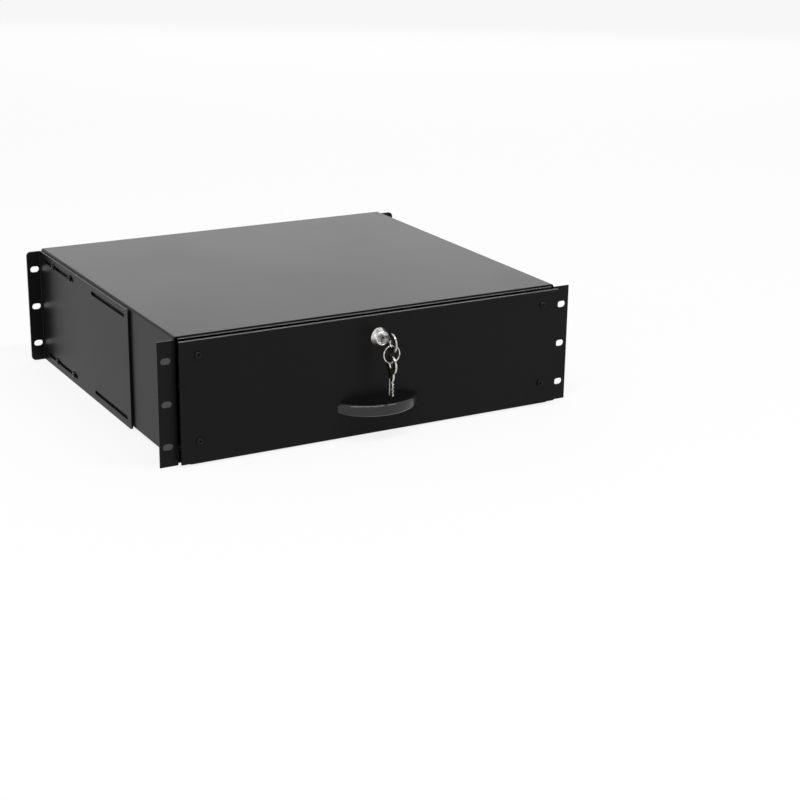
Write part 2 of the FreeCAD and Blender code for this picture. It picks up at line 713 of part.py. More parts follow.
def make_bracket_fasteners():
    """Rivet nuts in the housing's sides, and the screws that clamp the brackets to them."""
    rivet_nuts = []
    for name, side in SIDES:
        inward = AXES["X"] * -side
        screws = []
        for y, z in nut_places:
            rivet_nuts.append(make_rivet_nut("rivet_nut", side * housing_half, y, z, inward))
            shank = d.bracket_sheet + d.nut_flange_height + d.nut_body_length
            screws.append(make_screw("screw", side * bracket_outside, y, z, inward, shank))
        group(f"bracket_screws_{name}", screws)
    group("bracket_rivet_nuts", rivet_nuts)


# Telescopic slides ----------------------------------------------------------------------------
# Depths are measured from the housing wall inwards, heights from the slide's centre line.


def root(size):
    return Size(f"sqrt({size.text})", math.sqrt(size.value))


ball_reach = d.ball_size / 2 + d.ball_gap
race_half = root(ball_reach * ball_reach - (ball_reach - d.race_depth) * (ball_reach - d.race_depth))
outer_inside = d.outer_half - d.slide_sheet
outer_ball = outer_inside + d.race_depth - ball_reach
middle_outside = outer_ball - ball_reach + d.race_depth
middle_inside = middle_outside - d.slide_sheet
inner_ball = middle_inside + d.race_depth - ball_reach
inner_outside = inner_ball - ball_reach + d.race_depth
inner_inside = inner_outside - d.slide_sheet
middle_web = d.slide_sheet + d.member_gap
inner_web = d.slide_width - d.slide_sheet
inner_race = d.slide_width - d.inner_race_gap
outer_reach = d.slide_width - d.outer_lip_gap
middle_reach = inner_web - d.middle_lip_gap
inner_reach = inner_race - d.inner_lip
hump_reach = ball_reach + d.slide_sheet
hump_height = d.outer_half - outer_ball
hump_half = root(hump_reach * hump_reach - hump_height * hump_height)
BALL_FLAT = math.sqrt(2) - 1
BALL_PITCHES = 2
slide_screw_places = [
    d.slide_front + d.slide_screw_inset,
    d.slide_front + slide_length / 2,
    d.slide_front + slide_length - d.slide_screw_inset,
]


def member_profile(body, side, corners):
    """Draw a member's section, symmetric about its centre line, from its lower half."""
    section = make_sketch(body, "XZ", d.slide_front)
    lower = [(side * (wall_inside - depth), d.slide_level - height, *arc)
             for depth, height, *arc in corners]
    upper = []
    arc_ahead = ()
    for depth, height, *arc in reversed(corners):
        upper.append((side * (wall_inside - depth), d.slide_level + height, *arc_ahead))
        arc_ahead = tuple(arc)
    turned = [corner[:3] + (corner[3] * -side,) if len(corner) == 4 else corner
              for corner in lower + upper]
    outline(section, *turned)
    pad(body, section, slide_length)


def make_outer_member(name, side):
    """The channel on the housing wall, its flanges bulged round the outer ball races."""
    body = make_body(f"outer_member_{name}")
    race = d.outer_race
    member_profile(body, side, [
        (ZERO, d.outer_half),
        (race - hump_half, d.outer_half), (race + hump_half, d.outer_half, hump_reach, 1),
        (outer_reach, d.outer_half), (outer_reach, outer_inside),
        (race + race_half, outer_inside), (race - race_half, outer_inside, ball_reach, -1),
        (d.slide_sheet, outer_inside),
    ])
    add_node(body, f"outer_member_{name}")


def make_intermediate_member(name, side):
    """The channel between, with a race outside each flange and one inside it."""
    body = make_body(f"intermediate_member_{name}")
    member_profile(body, side, [
        (middle_web, middle_outside),
        (d.outer_race - race_half, middle_outside),
        (d.outer_race + race_half, middle_outside, ball_reach, -1),
        (middle_reach, middle_outside), (middle_reach, middle_inside),
        (inner_race + race_half, middle_inside),
        (inner_race - race_half, middle_inside, ball_reach, -1),
        (middle_web + d.slide_sheet, middle_inside),
    ])
    add_node(body, f"intermediate_member_{name}")


def make_inner_member(name, side):
    """The channel on the tray, its back to the tray and its races outside."""
    body = make_body(f"inner_member_{name}")
    member_profile(body, side, [
        (d.slide_width, inner_outside),
        (inner_race + race_half, inner_outside),
        (inner_race - race_half, inner_outside, ball_reach, 1),
        (inner_reach, inner_outside), (inner_reach, inner_inside),
        (inner_web, inner_inside),
    ])
    middle = side * (tray_half + d.slide_sheet / 2)
    holes = make_sketch(body, "YZ", middle - d.slide_sheet / 2 - CUT_MARGIN)
    for y in slide_screw_places:
        hexagon(holes, shank_hole, y, d.slide_level)
    pocket(body, holes, d.slide_sheet + 2 * CUT_MARGIN)
    add_node(body, f"inner_member_{name}")


def make_ball(x, y, z):
    """A bearing ball in few faces: a cube with its edges planed off until its corners touch."""
    flat = d.ball_size / math.sqrt(1 + 2 * BALL_FLAT ** 2)
    cube = document.addObject("Part::Box", "ball_cube")
    for prop in ("Length", "Width", "Height"):
        bind(cube, prop, flat)
    for axis, amount in (("x", x), ("y", y), ("z", z)):
        bind(cube, f"Placement.Base.{axis}", amount - flat / 2)
    document.recompute()
    ball = document.addObject("Part::Chamfer", "ball")
    ball.Base = cube
    bevel = flat.value * (1 - BALL_FLAT) / 2
    ball.Edges = [(number, bevel, bevel) for number in range(1, len(cube.Shape.Edges) + 1)]
    return ball


def make_ball_cage(name, side, stage, race, height):
    """Two strips with square windows, and the balls that run in them."""
    x = side * (wall_inside - race)
    cage_front = d.slide_front + d.cage_setback
    first_ball = cage_front + (d.cage_length - BALL_PITCHES * d.ball_pitch) / 2
    half_width = ball_reach + d.cage_rail
    places = [first_ball + d.ball_pitch * number for number in range(BALL_PITCHES + 1)]
    strips, balls = [], []
    for way in (-1, 1):
        level = d.slide_level + height * way
        strip = make_body(f"{stage}_cage_{name}")
        plan = make_sketch(strip, "XY", level - d.cage_sheet / 2)
        rectangle(plan, x - half_width, x + half_width, cage_front, cage_front + d.cage_length)
        for y in places:
            rectangle(plan, x - ball_reach, x + ball_reach, y - ball_reach, y + ball_reach)
        pad(strip, plan, d.cage_sheet)
        strips.append(strip)
        balls += [make_ball(x, y, level) for y in places]
    group(f"{stage}_cage_{name}", strips)
    group(f"{stage}_balls_{name}", balls)


def make_slide(name, side):
    make_outer_member(name, side)
    make_intermediate_member(name, side)
    make_inner_member(name, side)
    make_ball_cage(name, side, "outer", d.outer_race, outer_ball)
    make_ball_cage(name, side, "inner", inner_race, inner_ball)


# Drawer ---------------------------------------------------------------------------------------

panel_screw_places = [
    (side * (tray_half - d.panel_screw_inset), z)
    for side in (-1, 1)
    for z in (panel_top - d.panel_screw_drop, panel_bottom + d.panel_screw_rise)
]
boss_size = d.screw_size + 2 * d.boss_wall
boss_level = handle_top - d.handle_wall - boss_size / 2
handle_screw_places = [(side * d.handle_screw_span / 2, boss_level) for side in (-1, 1)]


def make_front_holes(body, first_face, depth):
    """The holes that the panel and the tray's front wall share: screws, handle and lock."""
    holes = make_sketch(body, "XZ", first_face - CUT_MARGIN)
    for x, z in panel_screw_places + handle_screw_places:
        hexagon(holes, shank_hole, x, z)
    radius = d.barrel_size / 2 + d.hole_clearance
    half = d.barrel_size / 2 - d.flat_depth + d.hole_clearance
    rise = root(radius * radius - half * half)
    outline(
        holes,
        (-half, lock_level - rise), (half, lock_level - rise, radius, 1),
        (half, lock_level + rise), (-half, lock_level + rise, radius, 1),
    )
    pocket(body, holes, depth + 2 * CUT_MARGIN)


def make_drawer_tray():
    """The folded tray: floor, sides with inward lips, front wall and back wall."""
    body = make_body("drawer_tray")
    inside = tray_half - d.tray_sheet
    lip_edge = tray_half - d.tray_lip
    floor, under_lip = tray_bottom + d.tray_sheet, tray_side_top - d.tray_sheet
    section = make_sketch(body, "XZ", tray_front)
    outline(
        section,
        (-tray_half, tray_bottom), (tray_half, tray_bottom), (tray_half, tray_side_top),
        (inside, tray_side_top), (inside, floor), (-inside, floor),
        (-inside, tray_side_top), (-tray_half, tray_side_top),
    )
    pad(body, section, tray_rear - tray_front)
    lip_front = wall_back + d.hex_height + d.screw_tail + d.lip_gap
    lips = make_sketch(body, "XZ", lip_front)
    for side in (-1, 1):
        left, right = sorted((side * lip_edge, side * inside), key=lambda size: size.value)
        rectangle(lips, left, right, under_lip, tray_side_top)
    pad(body, lips, tray_rear - lip_front)
    front = make_sketch(body, "XZ", tray_front)
    rectangle(front, -tray_half, tray_half, tray_bottom, tray_front_top)
    pad(body, front, d.tray_sheet)
    back = make_sketch(body, "XZ", tray_rear - d.tray_sheet)
    rectangle(back, -tray_half, tray_half, tray_bottom, tray_side_top)
    pad(body, back, d.tray_sheet)
    fillet(body, d.fold_radius + d.tray_sheet, edges_along(
        body, "Y", [(x, None, tray_bottom) for x in (-tray_half, tray_half)]))
    fillet(body, d.fold_radius, edges_along(
        body, "Y", [(x, None, floor) for x in (-inside, inside)]))
    make_front_holes(body, tray_front, d.tray_sheet)
    holes = make_sketch(body, "YZ", -tray_half - CUT_MARGIN)
    for y in slide_screw_places:
        hexagon(holes, shank_hole, y, d.slide_level)
    pocket(body, holes, 2 * tray_half + 2 * CUT_MARGIN)
    add_node(body, "drawer_tray")


def make_front_panel():
    """The front plate; its lower edge is folded back, and the fold stops short of the ends."""
    body = make_body("front_panel")
    plate = make_sketch(body, "XZ", d.panel_face)
    rectangle(plate, -panel_half, panel_half, panel_bottom + d.panel_step, panel_top)
    pad(body, plate, d.panel_sheet)
    fold = make_sketch(body, "XZ", d.panel_face)
    fold_half = panel_half - d.panel_relief
    rectangle(fold, -fold_half, fold_half, panel_bottom, panel_bottom + d.panel_sheet)
    pad(body, fold, d.panel_return)
    for radius, level in ((d.panel_round, panel_bottom), (d.panel_top_round, panel_top)):
        fillet(body, radius, edges_along(body, "X", [(None, d.panel_face, level)]))
    make_front_holes(body, d.panel_face, d.panel_sheet)
    add_node(body, "front_panel")


def make_front_fasteners():
    """Screws and nuts that hold the panel and the handle, and the screws into the slides."""
    screws, hex_nuts = [], []
    grip = d.panel_sheet + d.tray_sheet
    for x, z in panel_screw_places:
        length = grip + d.hex_height + d.screw_tail
        screws.append(make_screw("screw", x, d.panel_face, z, AXES["Y"], length))
        hex_nuts.append(make_nut("nut", x, wall_back, z))
    group("panel_screws", screws)
    group("panel_nuts", hex_nuts)
    group("handle_screws", [
        make_screw("screw", x, wall_back, z, AXES["Y"] * -1, grip + d.handle_screw_bite)
        for x, z in handle_screw_places])
    group("slide_screws", [
        make_screw("screw", side * (tray_half - d.tray_sheet), y, d.slide_level,
                   AXES["X"] * side, d.tray_sheet + d.slide_sheet + d.screw_tail)
        for _, side in SIDES for y in slide_screw_places])


# Handle ---------------------------------------------------------------------------------------

def make_handle():
    """A half-moon hood, hollow beneath for the fingers, with two screw bosses."""
    body = make_body("handle")
    half, reach = d.handle_width / 2, d.handle_reach
    radius = (half * half + reach * reach) / (reach * 2)
    centre = d.panel_face - reach + radius
    plan = make_sketch(body, "XY", handle_top)
    outline(plan, (-half, d.panel_face), (half, d.panel_face, radius, 1))
    pad(body, plan, d.handle_height, -1)
    bottom = handle_top - d.handle_height
    chamfer(body, d.handle_edge, edges_round(body, "Z", radius, handle_top))
    chamfer(body, d.handle_lower_edge, edges_round(body, "Z", radius, bottom))

    inner_radius = radius - d.handle_wall
    back = d.panel_face - d.handle_wall
    inner_half = root(inner_radius * inner_radius - (centre - back) * (centre - back))
    hollow = make_sketch(body, "XY", bottom - CUT_MARGIN)
    outline(hollow, (-inner_half, back), (inner_half, back, inner_radius, 1))
    pocket(body, hollow, d.handle_height - d.handle_wall + CUT_MARGIN)
    bosses = make_sketch(body, "XZ", d.panel_face)
    for x, z in handle_screw_places:
        polygon(bosses, BOSS_SIDES, boss_size, x, z)
    pad(body, bosses, d.boss_length, -1)
    pilots = make_sketch(body, "XZ", d.panel_face)
    for x, z in handle_screw_places:
        hexagon(pilots, shank_hole, x, z)
    pocket(body, pilots, d.handle_screw_bite + d.screw_tail, -1)
    add_node(body, "handle")


# Lock and keys --------------------------------------------------------------------------------

collar_face = collar_size - 2 * d.collar_slope
flat_half = d.barrel_size / 2 - d.flat_depth
bore_half = d.plug_size / 2 + d.plug_gap
cam_front = d.barrel_end + d.cam_gap
cam_back = cam_front + d.cam_sheet


def make_lock_barrel():
    """The lock's body: bevelled collar, threaded barrel with two flats, and the plug's bore."""
    body = make_body("lock_barrel", z=lock_level)
    section = make_sketch(body, "YZ")
    outline(
        section,
        (collar_front, bore_half), (collar_front, collar_face / 2),
        (d.panel_face - d.collar_rim, collar_size / 2), (d.panel_face, collar_size / 2),
        (d.panel_face, d.barrel_size / 2), (d.barrel_end, d.barrel_size / 2),
        (d.barrel_end, bore_half),
    )
    spin(body, section)
    flats = make_sketch(body, "XZ", d.panel_face)
    for side in (-1, 1):
        near, far = sorted((side * flat_half, side * d.barrel_size),
                           key=lambda size: size.value)
        rectangle(flats, near, far, -d.barrel_size, d.barrel_size)
    pocket(body, flats, d.barrel_end - d.panel_face + CUT_MARGIN)
    add_node(body, "lock_barrel")


def make_lock_nut():
    """The thin hexagon nut that clamps the barrel to the drawer's front wall."""
    body = make_body("lock_nut", ZERO, wall_back, lock_level)
    face = make_sketch(body, "XZ")
    hexagon(face, d.barrel_size + 2 * d.lock_nut_wall)
    circle(face, ZERO, ZERO, d.barrel_size + 2 * d.hole_clearance)
    pad(body, face, d.lock_nut_height)
    add_node(body, "lock_nut")


def make_lock_plug():
    """The turning core: keyway in front, square tail behind for the cam."""
    body = make_body("lock_plug", z=lock_level)
    front = collar_front + d.plug_inset
    face = make_sketch(body, "XZ", front)
    circle(face, ZERO, ZERO, d.plug_size)
    pad(body, face, d.barrel_end - front)
    tail = make_sketch(body, "XZ", d.barrel_end)
    half = d.tang_size / 2
    rectangle(tail, -half, half, -half, half)
    pad(body, tail, d.cam_gap + d.cam_sheet)
    keyway = make_sketch(body, "XZ", front)
    wide, tall = d.key_sheet / 2 + d.key_gap, d.blade_width / 2 + d.key_gap
    rectangle(keyway, -wide, wide, -tall, tall)
    pocket(body, keyway, d.keyway_depth)
    pilot = make_sketch(body, "XZ", cam_back)
    hexagon(pilot, shank_hole)
    pocket(body, pilot, d.cam_screw_bite + d.screw_tail, -1)
    add_node(body, "lock_plug")


def make_lock_cam():
    """The flat cam; it lies to the left when unlocked and turns up behind the housing's lip."""
    body = make_body("lock_cam", z=lock_level)
    face = make_sketch(body, "XZ", cam_front)
    half = d.cam_width / 2
    hole = d.tang_size / 2 + d.plug_gap
    cam_length = lip_edge_level + d.cam_catch - lock_level
    rectangle(face, -cam_length, half, -half, half)
    rectangle(face, -hole, hole, -hole, hole)
    pad(body, face, d.cam_sheet)
    corners = [(x, None, z) for x in (-cam_length, half) for z in (-half, half)]
    fillet(body, d.cam_corner, edges_along(body, "Y", corners))
    add_node(body, "lock_cam")


NOTCH_SHARES = (0.12, 0.2, 0.1, 0.24)


def make_key(name, z, turn):
    """A flat key, its bow at the given place in the lock's plane and its blade along its own X."""
    body = make_body(name, ZERO, bow_place, z)
    body.Placement = FreeCAD.Placement(body.Placement.Base, turn)
    bow = make_sketch(body, "XY", -d.key_sheet / 2)
    circle(bow, ZERO, ZERO, d.bow_size)
    circle(bow, ZERO, ZERO, d.bow_hole)
    pad(body, bow, d.key_sheet)
    start = d.bow_size / 2
    tip = start + d.blade_length
    half, neck = d.blade_width / 2, d.neck_width / 2
    blade = make_sketch(body, "XY", -d.key_sheet / 2)
    outline(
        blade,
        (d.bow_hole, -neck), (start + d.neck_length, -neck), (start + d.neck_length, -half),
        (tip - d.tip_bevel, -half), (tip, d.tip_bevel - half), (tip, half - d.tip_bevel),
        (tip - d.tip_bevel, half), (start + d.neck_length, half),
        (start + d.neck_length, neck), (d.bow_hole, neck),
    )
    pad(body, blade, d.key_sheet)
    notches = make_sketch(body, "XY", -d.key_sheet / 2 - CUT_MARGIN)
    for number, share in enumerate(NOTCH_SHARES, 1):
        middle = tip - d.tip_bevel - d.notch_pitch * number
        depth = d.blade_width * share
        outline(notches, (middle - depth, -half - CUT_MARGIN), (middle + depth, -half - CUT_MARGIN),
                (middle + d.notch_floor, depth - half), (middle - d.notch_floor, depth - half))
    pocket(body, notches, d.key_sheet + 2 * CUT_MARGIN)
    for face in (-1, 1):
        groove = make_sketch(body, "XY", face * (d.key_sheet / 2 - d.groove_depth))
        rectangle(groove, start + d.neck_length, tip + CUT_MARGIN,
                  d.groove_offset, d.groove_offset + d.blade_groove)
        pocket(body, groove, d.groove_depth + CUT_MARGIN, face)
    add_node(body, name)


def make_lock():
    make_lock_barrel()
    make_lock_nut()
    make_lock_plug()
    make_lock_cam()
    cam_screw = make_screw("cam_screw", ZERO, cam_back, lock_level, AXES["Y"] * -1,
                           d.cam_screw_bite)
    add_node(cam_screw, "cam_screw")


def make_keys():
    """One key in the lock, the ring through its bow, and the spare key hanging from the ring."""
    make_key("inserted_key", lock_level, FreeCAD.Rotation(FreeCAD.Vector(1, 1, 1), 120))
    make_key("spare_key", spare_level, FreeCAD.Rotation(AXES["Y"], 90))
    ring = make_body("key_ring", ZERO, bow_place, ring_top - ring_radius)
    face = make_sketch(ring, "XZ", -d.ring_wire / 2)
    polygon(face, RING_SIDES, d.ring_size)
    polygon(face, RING_SIDES, d.ring_size - 2 * d.ring_wire)
    pad(ring, face, d.ring_wire)
    add_node(ring, "key_ring")


make_housing_shell()
make_rear_panel()
make_floor_strap()
make_bracket_fasteners()
for side_name, side_sign in SIDES:
    make_rear_bracket(side_name, side_sign)
    make_slide(side_name, side_sign)
make_drawer_tray()
make_front_panel()
make_front_fasteners()
make_handle()
make_lock()
make_keys()

document.recompute()
for thing in document.Objects:
    if "Invalid" in thing.State or "Error" in thing.State:
        raise RuntimeError(f"{thing.Label} failed: {thing.State}")
os.makedirs("parts", exist_ok=True)
for node in nodes:
    if node.Shape.isNull() or not node.Shape.isValid():
        raise RuntimeError(f"{node.Label} has no valid shape")
    node.Shape.exportStep(f"parts/{node.Label}.step")
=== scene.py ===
"""A three-unit drawer for a 19-inch rack: folded steel housing, ball slides, lock and keys."""

import math

import bmesh
import bpy
from mathutils import Matrix, Vector


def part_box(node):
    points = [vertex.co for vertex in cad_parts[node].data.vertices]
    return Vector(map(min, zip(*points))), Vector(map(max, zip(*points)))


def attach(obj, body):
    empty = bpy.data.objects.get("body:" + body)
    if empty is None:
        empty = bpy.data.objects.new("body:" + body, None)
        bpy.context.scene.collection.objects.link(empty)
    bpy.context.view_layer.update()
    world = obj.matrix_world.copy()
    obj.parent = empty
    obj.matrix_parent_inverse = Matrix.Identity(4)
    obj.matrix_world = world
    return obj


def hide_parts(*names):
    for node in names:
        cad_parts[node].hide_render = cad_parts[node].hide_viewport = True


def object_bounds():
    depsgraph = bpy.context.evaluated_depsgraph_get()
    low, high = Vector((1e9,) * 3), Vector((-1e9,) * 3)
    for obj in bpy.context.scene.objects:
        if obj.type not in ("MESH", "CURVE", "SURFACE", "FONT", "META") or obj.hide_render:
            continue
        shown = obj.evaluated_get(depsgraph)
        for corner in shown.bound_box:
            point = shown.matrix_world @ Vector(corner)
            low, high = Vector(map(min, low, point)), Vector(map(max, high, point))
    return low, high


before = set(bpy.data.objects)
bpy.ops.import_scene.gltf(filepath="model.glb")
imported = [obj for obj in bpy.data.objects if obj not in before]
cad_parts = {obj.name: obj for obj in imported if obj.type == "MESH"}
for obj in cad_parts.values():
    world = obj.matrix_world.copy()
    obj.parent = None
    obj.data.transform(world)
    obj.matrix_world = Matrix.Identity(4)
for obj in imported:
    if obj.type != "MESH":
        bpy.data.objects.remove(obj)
cad_box = [list(corner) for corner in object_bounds()]

# Studio ---------------------------------------------------------------------------------------
# A white floor that runs out of view, one broad softbox behind, a narrow strip light overhead, a
# fill from the left, and a long lens looking down on the front, the left side and the top.

scene = bpy.context.scene
scene.view_settings.view_transform = "Standard"

camera_data = bpy.data.cameras.new("camera")
camera_data.sensor_width = 36.0
camera_data.lens = 79.11
camera_data.clip_start = 0.05
camera_data.clip_end = 60.0
camera = bpy.data.objects.new("camera", camera_data)
camera.location = (-0.84051, -1.53064, 0.56410)
camera.rotation_euler = [math.radians(turn) for turn in (71.18384, -0.81469, -29.39600)]
scene.collection.objects.link(camera)
scene.camera = camera


def seen_by_eye(tree):
    """1 for what the lens, a gloss or a glass shows, 0 for what only lights."""
    path = tree.nodes.new("ShaderNodeLightPath")
    seen = path.outputs["Is Camera Ray"]
    for ray in ("Is Glossy Ray", "Is Transmission Ray"):
        either = tree.nodes.new("ShaderNodeMath")
        either.operation = "MAXIMUM"
        either.use_clamp = True
        tree.links.new(seen, either.inputs[0])
        tree.links.new(path.outputs[ray], either.inputs[1])
        seen = either.outputs[0]
    return seen


lighting_strength, seen_strength = 0.5, 1.0
world = bpy.data.worlds.new("room")
scene.world = world
world.use_nodes = True
room = world.node_tree
sky = room.nodes["Background"]
sky.inputs["Color"].default_value = (1.0, 1.0, 1.0, 1.0)
strength = room.nodes.new("ShaderNodeMapRange")
strength.inputs["To Min"].default_value = lighting_strength
strength.inputs["To Max"].default_value = seen_strength
room.links.new(seen_by_eye(room), strength.inputs["Value"])
room.links.new(strength.outputs["Result"], sky.inputs["Strength"])

floor_reach, floor_gap = 14.0, 0.0003
floor_height = cad_box[0][2] - floor_gap
floor_mesh = bmesh.new()
bmesh.ops.create_grid(floor_mesh, x_segments=1, y_segments=1, size=floor_reach)
bmesh.ops.translate(floor_mesh, verts=floor_mesh.verts, vec=(0.0, 0.0, floor_height))
floor_data = bpy.data.meshes.new("floor")
floor_mesh.to_mesh(floor_data)
floor_mesh.free()
floor = bpy.data.objects.new("floor", floor_data)
scene.collection.objects.link(floor)

paper_white, glow_share = 0.92, 0.85
floor_paper = bpy.data.materials.new("floor_paper")
floor_paper.use_nodes = True
paper = floor_paper.node_tree
paper_base = paper.nodes["Principled BSDF"]
paper_base.inputs["Base Color"].default_value = (paper_white, paper_white, paper_white, 1.0)
paper_base.inputs["Roughness"].default_value = 0.9
paper_base.inputs["Specular IOR Level"].default_value = 0.0
paper_glow = paper.nodes.new("ShaderNodeEmission")
paper_glow.inputs["Color"].default_value = (1.0, 1.0, 1.0, 1.0)
paper_mix = paper.nodes.new("ShaderNodeMixShader")
paper_share = paper.nodes.new("ShaderNodeMath")
paper_share.operation = "MULTIPLY"
paper_share.inputs[1].default_value = glow_share
paper.links.new(seen_by_eye(paper), paper_share.inputs[0])
paper.links.new(paper_share.outputs[0], paper_mix.inputs[0])
paper.links.new(paper_base.outputs[0], paper_mix.inputs[1])
paper.links.new(paper_glow.outputs[0], paper_mix.inputs[2])
paper.links.new(paper_mix.outputs[0], paper.nodes["Material Output"].inputs["Surface"])
floor_data.materials.append(floor_paper)

aim_point = Vector((0.0, 0.2, 0.0))
for lamp_name, place, size, watts in (
    ("back_softbox", (1.6, 2.8, 1.0), (2.8, 1.5), 16.0),
    ("overhead_strip", (0.0, -0.71, 2.25), (3.5, 0.22), 40.0),
    ("left_fill", (-2.2, 1.0, 0.5), (1.2, 0.8), 9.0),
):
    lamp_data = bpy.data.lights.new(lamp_name, "AREA")
    lamp_data.shape = "RECTANGLE"
    lamp_data.size, lamp_data.size_y = size
    lamp_data.energy = watts
    lamp = bpy.data.objects.new(lamp_name, lamp_data)
    lamp.location = place
    aim = aim_point - Vector(place)
    lamp.rotation_euler = aim.to_track_quat("-Z", "Y").to_euler()
    scene.collection.objects.link(lamp)

# Housing --------------------------------------------------------------------------------------
# Folded 1.5 mm steel sheet: the top, the sides with their slotted ears, a pan in the back and a
# strap below. All of it is powder coated in a fine satin black, which lies thicker and shines
# more on the sloping edges in front.


def coat_texture_group():
    """The fine ripple of a coat: a normal, and a mask of slow patches for shade and roughness."""
    group = bpy.data.node_groups.new("coat_texture", "ShaderNodeTree")
    for socket in ("Coarse Scale", "Fine Scale", "Depth"):
        group.interface.new_socket(socket, in_out="INPUT", socket_type="NodeSocketFloat")
    group.interface.new_socket("Mask", in_out="OUTPUT", socket_type="NodeSocketFloat")
    group.interface.new_socket("Normal", in_out="OUTPUT", socket_type="NodeSocketVector")
    inner, links = group.nodes, group.links
    entry, leave = inner.new("NodeGroupInput"), inner.new("NodeGroupOutput")
    place = inner.new("ShaderNodeTexCoord")
    coarse, fine = inner.new("ShaderNodeTexNoise"), inner.new("ShaderNodeTexNoise")
    for noise, socket in ((coarse, "Coarse Scale"), (fine, "Fine Scale")):
        noise.inputs["Detail"].default_value = 3.0
        links.new(place.outputs["Object"], noise.inputs["Vector"])
        links.new(entry.outputs[socket], noise.inputs["Scale"])
    bump = inner.new("ShaderNodeBump")
    bump.inputs["Distance"].default_value = 0.0001
    links.new(entry.outputs["Depth"], bump.inputs["Strength"])
    links.new(fine.outputs["Fac"], bump.inputs["Height"])
    links.new(coarse.outputs["Fac"], leave.inputs["Mask"])
    links.new(bump.outputs["Normal"], leave.inputs["Normal"])
    return group


coat_texture = coat_texture_group()


def shade_surface(tree, tone, dark, light, grain, smooth, rough):
    """Give a surface two shades mixed by one mask and two roughnesses mixed by another."""
    surface = tree.nodes["Principled BSDF"]
    shade = tree.nodes.new("ShaderNodeMix")
    shade.data_type = "RGBA"
    shade.inputs["A"].default_value = (*dark, 1.0)
    shade.inputs["B"].default_value = (*light, 1.0)
    roughness = tree.nodes.new("ShaderNodeMapRange")
    roughness.inputs["To Min"].default_value = smooth
    roughness.inputs["To Max"].default_value = rough
    tree.links.new(tone, shade.inputs["Factor"])
    tree.links.new(grain, roughness.inputs["Value"])
    tree.links.new(shade.outputs["Result"], surface.inputs["Base Color"])
    tree.links.new(roughness.outputs["Result"], surface.inputs["Roughness"])


def black_finish(name, dark, light, smooth, rough, depth, gloss, patch=9.0, ripple=900.0):
    """A black coat or plastic: shade and roughness vary in slow patches, over a fine ripple."""
    material = bpy.data.materials.new(name)
    material.use_nodes = True
    tree = material.node_tree
    surface = tree.nodes["Principled BSDF"]
    surface.inputs["Specular IOR Level"].default_value = gloss
    texture = tree.nodes.new("ShaderNodeGroup")
    texture.node_tree = coat_texture
    texture.inputs["Coarse Scale"].default_value = patch
    texture.inputs["Fine Scale"].default_value = ripple
    texture.inputs["Depth"].default_value = depth
    mask = texture.outputs["Mask"]
    shade_surface(tree, mask, dark, light, mask, smooth, rough)
    tree.links.new(texture.outputs["Normal"], surface.inputs["Normal"])
    return material


housing_coat = black_finish(
    "housing_coat", dark=(0.0062, 0.0060, 0.0061), light=(0.0080, 0.0077, 0.0078),
    smooth=0.32, rough=0.37, depth=0.25, gloss=0.10)


def paint_node(node, material):
    """Give a carried-over piece its finish."""
    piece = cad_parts[node]
    piece.data.materials.clear()
    piece.data.materials.append(material)


def add_piece(name, form, material, body, nodes, sharp=38.0):
    """Make a form a finished piece that rides a body and stands for carried-over nodes."""
    data = bpy.data.meshes.new(name)
    form.to_mesh(data)
    form.free()
    data.polygons.foreach_set("use_smooth", [True] * len(data.polygons))
    data.set_sharp_from_angle(angle=math.radians(sharp))
    data.materials.append(material)
    piece = bpy.data.objects.new(name, data)
    scene.collection.objects.link(piece)
    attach(piece, body)
    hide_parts(*nodes)
    return piece


def merged(node):
    """A carried-over piece as one closed form, with its doubles merged and flat faces whole."""
    form = bmesh.new()
    form.from_mesh(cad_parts[node].data)
    bmesh.ops.remove_doubles(form, verts=form.verts, dist=1e-6)
    bmesh.ops.dissolve_limit(form, angle_limit=math.radians(1.0), verts=form.verts,
                             edges=form.edges)
    return form


def sheet_copy(node, corner=None, width=0.0):
    """A sheet's form with its sloping front edges marked; a corner along X can be flattened."""
    form = merged(node)
    if corner:
        nearness = 1e-5
        along = [edge for edge in form.edges
                 if all(abs(vert.co.y - corner[0]) < nearness
                        and abs(vert.co.z - corner[1]) < nearness for vert in edge.verts)]
        bmesh.ops.bevel(form, geom=along, offset=width, segments=1, profile=0.5,
                        affect="EDGES", material=-1)
    form.normal_update()
    slope, below_top = 0.3, cad_box[1][2] - 0.001
    for face in form.faces:
        sloping = face.normal.y < -slope and face.normal.z > slope
        if sloping and face.calc_center_median().z < below_top:
            face.material_index = 1
    return form


edge_coat = black_finish(
    "edge_coat", dark=(0.0062, 0.0060, 0.0061), light=(0.0080, 0.0077, 0.0078),
    smooth=0.14, rough=0.20, depth=0.1, gloss=1.0)


def add_sheet(name, form, coat, body, node):
    """Add a coated sheet, whose marked edges hold the coat thicker and glossier."""
    sheet = add_piece(name, form, coat, body, [node])
    sheet.data.materials.append(edge_coat)
    flats = sheet.modifiers.new("flats", "WEIGHTED_NORMAL")
    flats.keep_sharp = True


sheet_thickness, corner_flat = 0.0015, 0.0006
ledge_corner = (-sheet_thickness, cad_box[1][2] - sheet_thickness)
add_sheet("housing_folded_shell", sheet_copy("housing_shell", ledge_corner, corner_flat),
          housing_coat, "housing", "housing_shell")
for node in ("rear_panel", "floor_strap"):
    paint_node(node, housing_coat)

# Rear brackets --------------------------------------------------------------------------------
# Two 2 mm steel angles in the same black coat. Each slides along the housing's side on its long
# slots until its flange meets the rack's rear rail.

for node in ("rear_bracket_left", "rear_bracket_right"):
    paint_node(node, housing_coat)

# Bracket screws -------------------------------------------------------------------------------
# Four M4 pan head screws a side, cross recessed and black zinc plated. They clamp the bracket
# to the rivet nuts in the housing.


